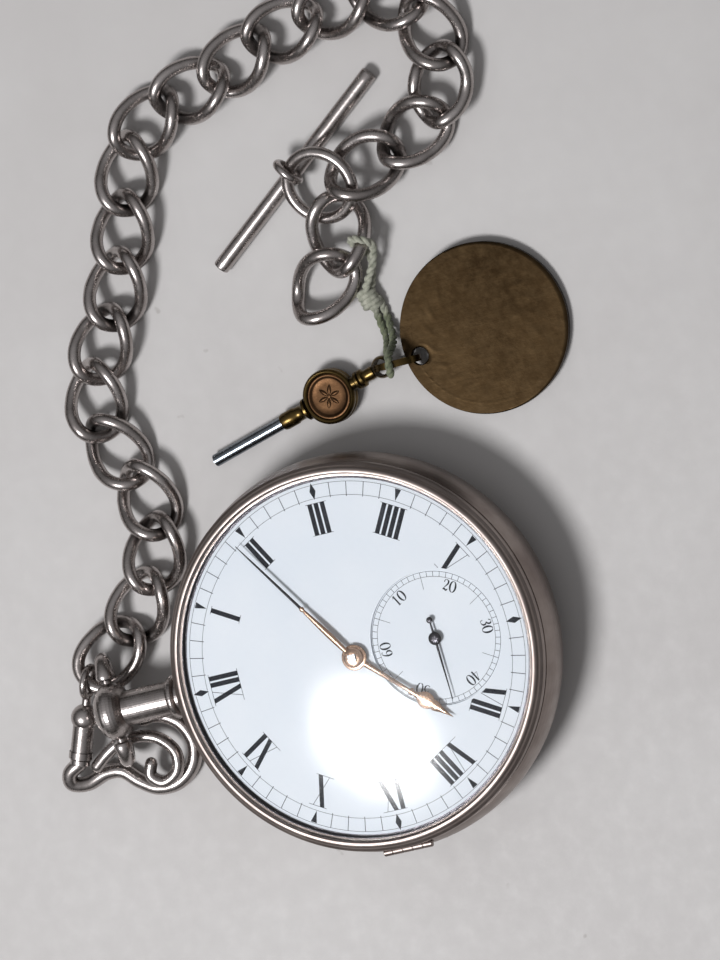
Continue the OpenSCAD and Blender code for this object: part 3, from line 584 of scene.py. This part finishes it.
HOOK = [(-6, 44.65, 4), (-7, 46.4, 3.8), (-8.5, 46.8, 3), (-9, 44.9, 2.1), (-8.2, 42.2, 1.6), (-8.5, 40, 1.2),
        (-10.3, 38, 1.1), (-11.7, 35.6, 1.1), (-11.6, 32.6, 1.1), (-9.8, 30.1, 1.1), (-7, 29.1, 1.1),
        (-4.2, 30, 1.2), (-2.6, 31.8, 1.6), (-2.1, 33.4, 2), (-2.2, 34.8, 2.3)]
GATE = [(-6.9, 42.4, 3.7), (-5.4, 40.2, 4), (-4.3, 37.8, 3.9), (-4.3, 35.2, 3.6), (-5.2, 32.8, 3.4),
        (-7.4, 31.1, 3.3), (-9.9, 31.6, 3.2), (-11, 33.8, 3.2), (-9.8, 35.4, 3.2), (-8.2, 34.9, 3.3)]
EYE, SWIVEL_A, SWIVEL_LEN = Vector((4.4, 40.4, 4)), radians(158), 10.5


def swivel_frame(s):
    return (Matrix.Translation(EYE) @ Matrix.Rotation(SWIVEL_A, 4, "Z") @ Matrix.Translation((s, 0, 0))
            @ Matrix.Rotation(radians(90), 4, "Y"))


def make_hook():
    s = Shape()
    s.turn([(0.6, 0), (0.6, 2.35), (1.15, 2.35), (1.35, 2.5), (1.35, 3.1), (1.15, 3.25), (0.5, 3.25)],
           swivel_frame(SWIVEL_LEN - 2.3), 40)
    path = spline(HOOK, 10)
    s.wire(path, 1.05, 24, ends=True)
    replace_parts(s.place("hook_wire", "hook", "silver", SILVER), "swivel_hook")
    s = Shape()
    s.wire(spline(GATE, 10), 0.85, 20, ends=True)
    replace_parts(s.place("gate_wire", "gate", "silver", SILVER), "swivel_gate")


make_bow()
make_hook()

# ---------------------------------------------------------------- dial printing
DIAL_Z, SUB_Z, SUB_Y = 11.5, 11.2, -11.2
SUB_R = 9.0


class Print:
    """Flat ink shapes on a dial; polar places run clockwise from twelve."""

    def __init__(self, z, centre=(0, 0)):
        self.s, self.z, self.c = Shape(), z, centre

    def poly(self, pts):
        v = [(x + self.c[0], y + self.c[1], self.z) for x, y in pts]
        self.s.add(v, [list(range(len(v)))])

    def ring(self, r, w, a0=0.0, a1=360.0, steps=240):
        for k in range(steps):
            p, q = radians(a0 + (a1 - a0) * k / steps), radians(a0 + (a1 - a0) * (k + 1) / steps)
            self.poly([((r - w / 2) * sin(p), (r - w / 2) * cos(p)),
                       ((r + w / 2) * sin(p), (r + w / 2) * cos(p)),
                       ((r + w / 2) * sin(q), (r + w / 2) * cos(q)),
                       ((r - w / 2) * sin(q), (r - w / 2) * cos(q))])

    def tick(self, angle, r0, r1, w):
        self.local(angle, [[(-w / 2, r0), (w / 2, r0), (w / 2, r1), (-w / 2, r1)]])

    def local(self, angle, shapes):
        """Shapes drawn with y outward at twelve, turned clockwise."""
        a = radians(angle)
        for pts in shapes:
            self.poly([(x * cos(a) + y * sin(a), -x * sin(a) + y * cos(a)) for x, y in pts])


def bar(x, w, lo, hi, lean=0.0):
    """One stroke from the inner line to the outer line; lean moves its outer end sideways."""
    return [(x - w / 2, lo), (x + w / 2, lo), (x + lean + w / 2, hi), (x + lean - w / 2, hi)]


NUM_IN, NUM_OUT, THICK, THIN = 16.4, 20.5, 0.62, 0.07


def roman(text):
    """Thick and hairline strokes of one numeral, centred, and its width."""
    out, x = [], 0.0
    lo, hi = NUM_IN, NUM_OUT
    for c in text:
        if c == "I":
            out.append(("bar", x + 0.42, 0.0, THICK))
            x += 0.86
        elif c == "V":
            out.append(("bar", x + 1.25, -0.85, THICK))
            out.append(("bar", x + 1.25, 0.85, THIN))
            x += 2.3
        elif c == "X":
            out.append(("bar", x + 1.75, -1.25, THICK))
            out.append(("bar", x + 0.5, 1.25, THIN))
            x += 2.2
    shapes = []
    for _, at, lean, w in out:
        shapes.append(bar(at - x / 2, w, lo, hi, lean))
    return shapes, x


def make_dial_print():
    p = Print(DIAL_Z + 0.012)
    p.ring(23.0 - 0.15, 0.05)
    p.ring(21.1, 0.05)
    for k in range(60):
        if k % 5:
            p.tick(6 * k, 20.9, 22.85, 0.085)
    for k in range(12):
        if k % 3:
            p.local(30 * k, [[(-0.42, 22.75), (0, 21.15), (0.42, 22.75)]])
        else:
            p.local(30 * k, [[(-0.42, 22.05), (0, 20.95), (0.42, 22.05), (0, 23.15)]])
    for k, text in enumerate(("XII", "I", "II", "III", "IIII", "V", "", "VII", "VIII", "IX", "X", "XI")):
        if text:
            shapes, w = roman(text)
            p.local(30 * k, shapes)
            for r in (NUM_IN, NUM_OUT):
                p.local(30 * k, [[(-w / 2 - 0.15, r - 0.03), (w / 2 + 0.15, r - 0.03),
                                  (w / 2 + 0.15, r + 0.03),
                                  (-w / 2 - 0.15, r + 0.03)]])
    clip(p.s)
    p.s.place("dial_print", "case", "enamel", INK, smooth=0, recalc=False)


def clip(shape):
    """Takes off what lies inside the seconds dial."""
    import bmesh
    me = bpy.data.meshes.new("clip")
    me.from_pydata([tuple(q) for q in shape.v], [], shape.f)
    bm = bmesh.new()
    bm.from_mesh(me)
    centre = Vector((0, SUB_Y, 0))
    n = 72
    # cut along the circle's tangents, then drop faces inside
    for k in range(n):
        a = 2 * pi * (k + 0.5) / n
        d = Vector((cos(a), sin(a), 0))
        fs = [f for f in bm.faces if f.is_valid
              and any(abs((v.co - centre).xy.length - SUB_R) < 5 for v in f.verts)
              and abs((f.calc_center_median() - centre).xy.angle_signed(d.xy)) < pi / 2]
        geom = list({g for f in fs for g in [f, *f.edges, *f.verts]})
        bmesh.ops.bisect_plane(bm, geom=geom, plane_co=centre + d * (SUB_R + 0.12), plane_no=d, dist=1e-5)
    drop = [f for f in bm.faces if (f.calc_center_median() - centre).xy.length < SUB_R + 0.12]
    bmesh.ops.delete(bm, geom=drop, context="FACES")
    bm.to_mesh(me)
    bm.free()
    shape.v = [v.co.copy() for v in me.vertices]
    shape.f = [list(q.vertices) for q in me.polygons]
    shape.m = [0] * len(shape.f)
    bpy.data.meshes.remove(me)


def stroke(points, widths, steps=8):
    """Flat strip of changing width along a smooth line."""
    pts = spline([(x, y, 0) for x, y in points], steps)
    n = len(pts)
    ws = []
    for i in range(n):
        t = i / (n - 1) * (len(widths) - 1)
        k = min(int(t), len(widths) - 2)
        ws.append(widths[k] + (widths[k + 1] - widths[k]) * (t - k))
    out, left, right = [], [], []
    for i in range(n):
        t = unit(pts[min(i + 1, n - 1)] - pts[max(i - 1, 0)])
        s = Vector((-t.y, t.x, 0)) * ws[i] / 2
        left.append(pts[i] + s)
        right.append(pts[i] - s)
    for i in range(n - 1):
        out.append([(q.x, q.y) for q in (left[i], left[i + 1], right[i + 1], right[i])])
    return out


def digit(c):
    """One figure, 1 high and about 0.6 wide, thick and thin like engraved dial figures."""
    t, h = 0.15, 0.035
    if c == "0":
        pts = [(0.3 + 0.27 * sin(radians(a)), 0.5 + 0.5 * cos(radians(a))) for a in range(0, 361, 30)]
        return stroke(pts, [h, 0.10, t, t + 0.03, t, 0.10, h, 0.10, t, t + 0.03, t, 0.10, h], 3)
    if c == "1":
        return stroke([(0.3, 0), (0.3, 1)], [t, t], 1) + stroke([(0.12, 0.78), (0.28, 0.98)], [h, 0.07], 1) \
            + stroke([(0.14, 0.02), (0.46, 0.02)], [h, h], 1)
    if c == "2":
        return stroke([(0.1, 0.72), (0.14, 0.9), (0.3, 0.99), (0.48, 0.88), (0.48, 0.66), (0.3, 0.38),
                       (0.08, 0.06)],
                      [0.1, 0.07, h, t, t, 0.08, h]) \
            + stroke([(0.08, 0.06), (0.24, 0.12), (0.42, 0.04), (0.54, 0.2)], [0.05, t, t, h])
    if c == "3":
        return stroke([(0.1, 0.78), (0.16, 0.93), (0.3, 0.99), (0.46, 0.88), (0.45, 0.66), (0.26, 0.53)],
                      [0.1, 0.06, h, t, t, h]) \
            + stroke([(0.26, 0.53), (0.48, 0.42), (0.51, 0.2), (0.3, 0.01), (0.12, 0.06), (0.08, 0.22)],
                     [h, t, t, h, 0.06, 0.1])
    if c == "4":
        return stroke([(0.42, 0), (0.42, 1)], [t, t], 1) + stroke([(0.4, 0.98), (0.04, 0.3)], [h, h], 1) \
            + stroke([(0.04, 0.29), (0.58, 0.29)], [h, h], 1)
    if c == "5":
        return stroke([(0.14, 0.96), (0.5, 0.98)], [t * 0.7, t * 0.5],
                      1) + stroke([(0.14, 0.96), (0.12, 0.52)], [h, h], 1) \
            + stroke([(0.12, 0.52), (0.3, 0.62), (0.5, 0.48), (0.5, 0.2), (0.3, 0.01), (0.1, 0.1)],
                     [h, 0.06, t, t, h, 0.1])
    if c == "6":
        return stroke([(0.48, 0.9), (0.34, 0.99), (0.16, 0.8), (0.08, 0.45), (0.14, 0.12), (0.3, 0.01),
                       (0.48, 0.16),
                       (0.5, 0.4), (0.32, 0.56), (0.14, 0.42)], [0.08, h, 0.1, t, t, h, t, t, h, h])
    return []


def make_seconds_print():
    p = Print(SUB_Z + 0.012, (0, SUB_Y))
    p.ring(8.62, 0.055)
    p.ring(7.95, 0.05)
    for k in range(60):
        p.tick(6 * k, 7.95, 8.62, 0.06)
        if k % 10 == 5:
            p.tick(6 * k, 6.4, 7.95, 0.05)
    size = 1.45
    for k in range(1, 7):
        shapes = []
        for i, c in enumerate("%d" % (10 * k)):
            for q in digit(c):
                shapes.append([(size * (x * 0.95 + (i - 1) * 0.66 + 0.02), 6.3 + size * y) for x, y in q])
        p.local(60 * k, shapes)
    p.s.place("seconds_print", "case", "enamel", INK, smooth=0, recalc=False)


def turned_by(angle, p, z):
    """Frame of a hand: y outward at twelve, turned clockwise."""
    return Matrix.Translation((p[0], p[1], z)) @ Matrix.Rotation(-radians(angle), 4, "Z")


def blade(shape, m, stations, rise, slot=0):
    """Ridged strip along y: each station is a place and a half width."""
    rings = []
    for y, w in stations:
        h = min(rise, w * 0.9)
        rings.append([m @ Vector(q) for q in ((-w, y, 0), (-w * 0.55, y, h * 0.75), (0, y, h),
                                              (w * 0.55, y, h * 0.75),
                                               (w, y, 0), (0, y, -0.03))])
    shape.grid(rings, False, slot)


def boss(shape, m, profile, slot=0):
    shape.turn(profile, m, 48, slot)


def make_hands():
    # hour hand: thin stem, collar, bulb and point
    m = turned_by(HOUR_AT, (0, 0), 12.05)
    s = Shape()
    blade(s, m, [(1.2, 0.42), (3, 0.36), (6, 0.3), (8.3, 0.26), (8.6, 0.5), (8.9, 0.5), (9.1, 0.3),
                 (9.6, 0.45),
                 (10.1, 0.85), (10.6, 1.08), (11.1, 1.1), (11.6, 0.92), (12, 0.62), (12.2, 0.72),
                 (12.6, 0.66),
                 (13.4, 0.36), (14.4, 0.16), (15.1, 0.04)], 0.2)
    boss(s, m, [(1.08, 0), (1.65, 0), (1.68, 0.12), (1.5, 0.2), (1.08, 0.2)])
    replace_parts(s.place("hour_hand_shaped", "hours", "gold", GOLD, 30), "hour_hand")
    # minute hand: ridged leaf, small waist, thin outer half, domed collet
    m = turned_by(MINUTE_AT, (0, 0), 12.5)
    s = Shape()
    blade(s, m, [(1, 0.3), (2, 0.38), (4.2, 0.43), (6.5, 0.36), (8.6, 0.24), (8.9, 0.2), (9.1, 0.34),
                 (9.35, 0.34),
                 (9.5, 0.2)], 0.17)
    boss(s, m, [(0.63, 0), (1.2, 0), (1.3, 0.1), (1.22, 0.28), (0.98, 0.42), (0.68, 0.46), (0.63, 0.4)])
    blade(s, m, [(9.5, 0.2), (13, 0.18), (18, 0.13), (21.2, 0.05)], 0.12, 1)
    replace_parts(s.place("minute_hand_shaped", "centre", "gold", [GOLD, HAND_DARK_AND_GAP_SHADE], 30), "minute_hand")
    # seconds hand: dark, ball tail and round hub
    m = turned_by(SECOND_AT, (0, SUB_Y), 11.78)
    s = Shape()
    blade(s, m, [(-2.2, 0.1), (-0.5, 0.17), (0.5, 0.17), (4, 0.12), (8.1, 0.05)], 0.1)
    boss(s, m @ Matrix.Translation((0, -2.45, 0)),
         [(0.01, -0.02), (0.4, 0), (0.42, 0.06), (0.3, 0.13), (0.01, 0.15)])
    boss(s, m, [(0.31, 0), (0.8, 0), (0.85, 0.06), (0.7, 0.16), (0.31, 0.24)])
    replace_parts(s.place("seconds_hand_shaped", "fourth", "blued_steel", HAND_DARK_AND_GAP_SHADE, 30), "seconds_hand")


def make_token():
    """Worn token: a low rim and the faint remains of a wreath and rings, nothing to read."""
    tilt = (Matrix.Translation((36.9, -24.8 - 22.3 / 2, 0)) @ Matrix.Rotation(radians(4), 4, "X")
            @ Matrix.Translation((0, 22.3 / 2, 0)))
    hole = Vector((9.3 * cos(radians(99)), 9.3 * sin(radians(99))))
    rings, n = [], 180

    def height(x, y):
        r, a = math.hypot(x, y), math.atan2(y, x)
        h = 1.22
        h += 0.012 * math.exp(-((r - 9.7) / 0.12) ** 2) * (0.5 + 0.5 * sin(58 * a))
        leaf = math.exp(-((r - 7.2) / 0.9) ** 2) * max(0, sin(19 * a + 2.2 * (r - 7.2)))
        leaf *= 0.35 + 0.65 * abs(cos(a / 2))
        h += 0.02 * leaf
        h += 0.025 * math.exp(-(((x - 0.6) / 2.6) ** 2 + ((y + 0.8) / 3.3) ** 2))
        h += 0.02 * math.exp(-(((x + 1.9) / 1.1) ** 2 + ((y - 2.6) / 1.3) ** 2))
        return h

    # rings of points run from the hole outward to the round edge
    steps = [0, 0.01, 0.04] + [0.04 + 0.93 * k / 60 for k in range(1, 61)] + [0.985, 1]
    for t in steps:
        ring = []
        for k in range(n):
            a = 2 * pi * k / n
            inner = hole + 1.15 * Vector((cos(a), sin(a)))
            outer = 11.15 * Vector((cos(a), sin(a)))
            q = inner.lerp(outer, t)
            z = height(q.x, q.y)
            if t == 0:
                z -= 0.1
            if t == 1:
                z -= 0.12
            ring.append(tilt @ Vector((q.x, q.y, min(z, 1.3))))
        rings.append(ring)
    low = [tilt @ Vector((11.15 * cos(2 * pi * k / n), 11.15 * sin(2 * pi * k / n), 0.08)) for k in range(n)]
    low2 = [tilt @ Vector((11.05 * cos(2 * pi * k / n), 11.05 * sin(2 * pi * k / n), 0.0)) for k in range(n)]
    inner = [tilt @ Vector((hole.x + 1.15 * cos(2 * pi * k / n), hole.y + 1.15 * sin(2 * pi * k / n), 0.0))
             for k in range(n)]
    s = Shape()
    s.grid(rings + [low, low2, inner], True)
    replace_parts(s.place("token_worn", "token", "old_brass", TOKEN, 40), "token")


def make_medallion():
    """Round insert of the key: sunk field, raised rim and a six-petalled rosette."""
    m = (Matrix.Translation((35.3, -10.3, 2.2)) @ Matrix.Rotation(radians(104), 4, "Z")
         @ Matrix.Rotation(radians(2.5), 4, "Y") @ Matrix.Translation((8.3, 0, 0)))
    for side in (1, -1):
        f = m if side > 0 else m @ Matrix.Rotation(pi, 4, "X")
        s = Shape()
        s.turn([(0.01, 0.0), (2.98, 0.0), (2.98, 0.74), (2.84, 0.8), (2.66, 0.78), (2.5, 0.62),
                (2.3, 0.55), (1.6, 0.57),
                (0.01, 0.58)], f, 64)
        for k in range(6):
            g = f @ Matrix.Rotation(radians(60 * k + 30), 4, "Z")
            rings = []
            for y, w in ((0.2, 0.08), (0.5, 0.22), (0.9, 0.3), (1.3, 0.22), (1.6, 0.05)):
                rings.append([g @ Vector(q)
                              for q in ((-w, y, 0.57), (-w * 0.5, y, 0.57 + w * 0.35),
                                        (0, y, 0.58 + w * 0.45),
                                                       (w * 0.5, y, 0.57 + w * 0.35), (w, y, 0.57),
                                        (0, y, 0.55))])
            s.grid(rings)
        s.turn([(0.01, 0.7), (0.2, 0.68), (0.28, 0.57)], f, 24)
        o = s.place("medallion_front" if side > 0 else "medallion_back", "key", "old_brass", COPPER, 40)
        if side > 0:
            first = o
    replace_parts(first, "key_medallion")


def make_crystal():
    """Smooth domed glass, one even curve over the whole dial."""
    r_edge, n = 23.75, 48
    top = [(r_edge * k / n, 12.9 + 2.68 * (1 - (k / n) ** 2)) for k in range(n, 0, -1)] + [(0.02, 15.58)]
    under = [(0.02, 14.88)] + [(r_edge * k / n, 12.42 + 2.46 * (1 - (k / n) ** 2)) for k in range(1, n + 1)]
    s = Shape()
    s.turn(top + under, None, 160, closed=True)
    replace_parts(s.place("glass_dome", "bezel_lid", "crystal", CRYSTAL, 60), "crystal")


def make_bezel():
    """Bezel with a low outer step and a bright inner lip, and dark rings beside the dial that paint the
    shadow in the gap.
    """
    s = Shape()
    s.turn([(23.62, 10.97), (25.28, 10.97), (25.42, 11.12), (25.48, 11.4), (25.46, 11.8), (25.36, 12.1),
            (25.12, 12.3), (25.02, 12.36), (24.98, 12.46), (24.86, 12.7), (24.62, 12.9), (24.36, 12.98),
            (24.14, 12.95), (24.02, 12.84), (23.96, 12.62), (23.9, 12.36), (23.64, 12.32)], None, 200,
           closed=True)
    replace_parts(s.place("bezel_turned", "bezel_lid", "silver", SILVER_CASE, 25), "bezel")
    # painted shadow: a dark ring on the dial's edge stands in for the shade in the gap between the dial and
    # the glass
    s = Shape()
    s.turn([(23.26, 11.52), (23.58, 11.52), (23.58, 11.56), (23.26, 11.56)], None, 200, closed=True)
    s.place("painted_gap_shadow", "case", "enamel", HAND_DARK_AND_GAP_SHADE, 25)
    # painted shadow: a dark ring on the bezel's inner face where the glass sits
    s = Shape()
    s.turn([(23.56, 11.6), (23.61, 11.6), (23.61, 12.3), (23.56, 12.3)], None, 200, closed=True)
    s.place("painted_seat_shadow", "bezel_lid", "silver", HAND_DARK_AND_GAP_SHADE, 25)


def make_key_head():
    """Brass of the winding key: pierced ball, ringed neck, round frame and collar."""
    base = (Matrix.Translation((35.3, -10.3, 2.2)) @ Matrix.Rotation(radians(104), 4, "Z")
            @ Matrix.Rotation(radians(2.5), 4, "Y"))
    along_key = base @ Matrix.Rotation(radians(90), 4, "Y")
    s = Shape()
    s.turn([(1.1, -1.0)] + [(1.5 * cos(radians(a)), 1.5 * sin(radians(a)))
                            for a in range(-40, 41, 8)] + [(1.1, 1.0)],
           base, 48, closed=True)
    s.turn([(0.4, 1.25), (0.85, 1.3), (0.9, 1.8), (0.82, 2.5), (0.9, 2.75), (1.2, 2.95), (1.25, 3.3),
            (1.0, 3.48),
            (1.25, 3.66), (1.22, 4.0), (0.9, 4.2), (0.9, 4.9), (0.4, 4.95)], along_key, 40)
    s.turn([(3.02, -0.95), (3.12, -1.05), (3.3, -1.1), (3.5, -1.0), (3.63, -0.75), (3.65, -0.3), (3.5, 0),
            (3.65, 0.3),
            (3.63, 0.75), (3.5, 1.0), (3.3, 1.1), (3.12, 1.05), (3.02, 0.95)],
           base @ Matrix.Translation((8.3, 0, 0)),
           72, closed=True)
    s.turn([(0.62, 11.7), (1.3, 11.75), (1.5, 11.9), (1.5, 12.2), (1.2, 12.4), (1.02, 12.7), (1.0, 13.6),
            (1.15, 13.9),
            (1.15, 15.6), (1.05, 15.95), (0.62, 16.0)], along_key, 40)
    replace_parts(s.place("key_head_turned", "key", "old_brass", BRASS, 40), "key_head")


def make_toggle_ends():
    """Bright worn end faces of the toggle bar."""
    for side in (-1, 1):
        m = (Matrix.Translation((62.85, -5, 1.1)) @ Matrix.Rotation(radians(-54), 4, "Z")
             @ Matrix.Rotation(radians(90 * side), 4, "Y"))
        s = Shape()
        s.turn([(1.02, 15.2), (1.1, 15.3), (1.1, 16.3), (1.02, 16.45), (0.01, 16.48)], m, 40)
        s.place("toggle_end_%s" % ("a" if side < 0 else "b"), "toggle", "silver", SILVER, 30)


def make_hinges():
    """Five-part knuckles round each hinge pin, in the case's silver."""
    for z, name in ((4, "back_knuckles"), (10.35, "front_knuckles")):
        m = Matrix.Translation((-25.75, 0, z)) @ Matrix.Rotation(radians(90), 4, "X")
        s = Shape()
        edges = [-3.4, -2.1, -0.7, 0.7, 2.1, 3.4]
        prof = [(0.3, -3.4)]
        for a, b in zip(edges, edges[1:]):
            prof += [(0.44, a + 0.03), (0.5, a + 0.1), (0.5, b - 0.1), (0.44, b - 0.03)]
        prof.append((0.3, 3.4))
        s.turn(prof, m, 28)
        o = s.place(name, "case", "silver", SILVER_CASE, 40)
        if name == "back_knuckles":
            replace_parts(o, "hinge_pins")


# dark metal of the hands, also used for the painted gap shadow rings round the dial
HAND_DARK_AND_GAP_SHADE = metal("hand_dark_and_gap_shade", (0.06, 0.055, 0.06), (0.03, 0.03, 0.035), (0.01, 0.01, 0.012), (0.3, 0.45),
                  600)
HOUR_AT, MINUTE_AT, SECOND_AT = 223, 56, 268
make_hands()
make_token()
make_key_head()
make_toggle_ends()
make_crystal()
make_bezel()
make_medallion()
make_hinges()
make_dial_print()
make_seconds_print()
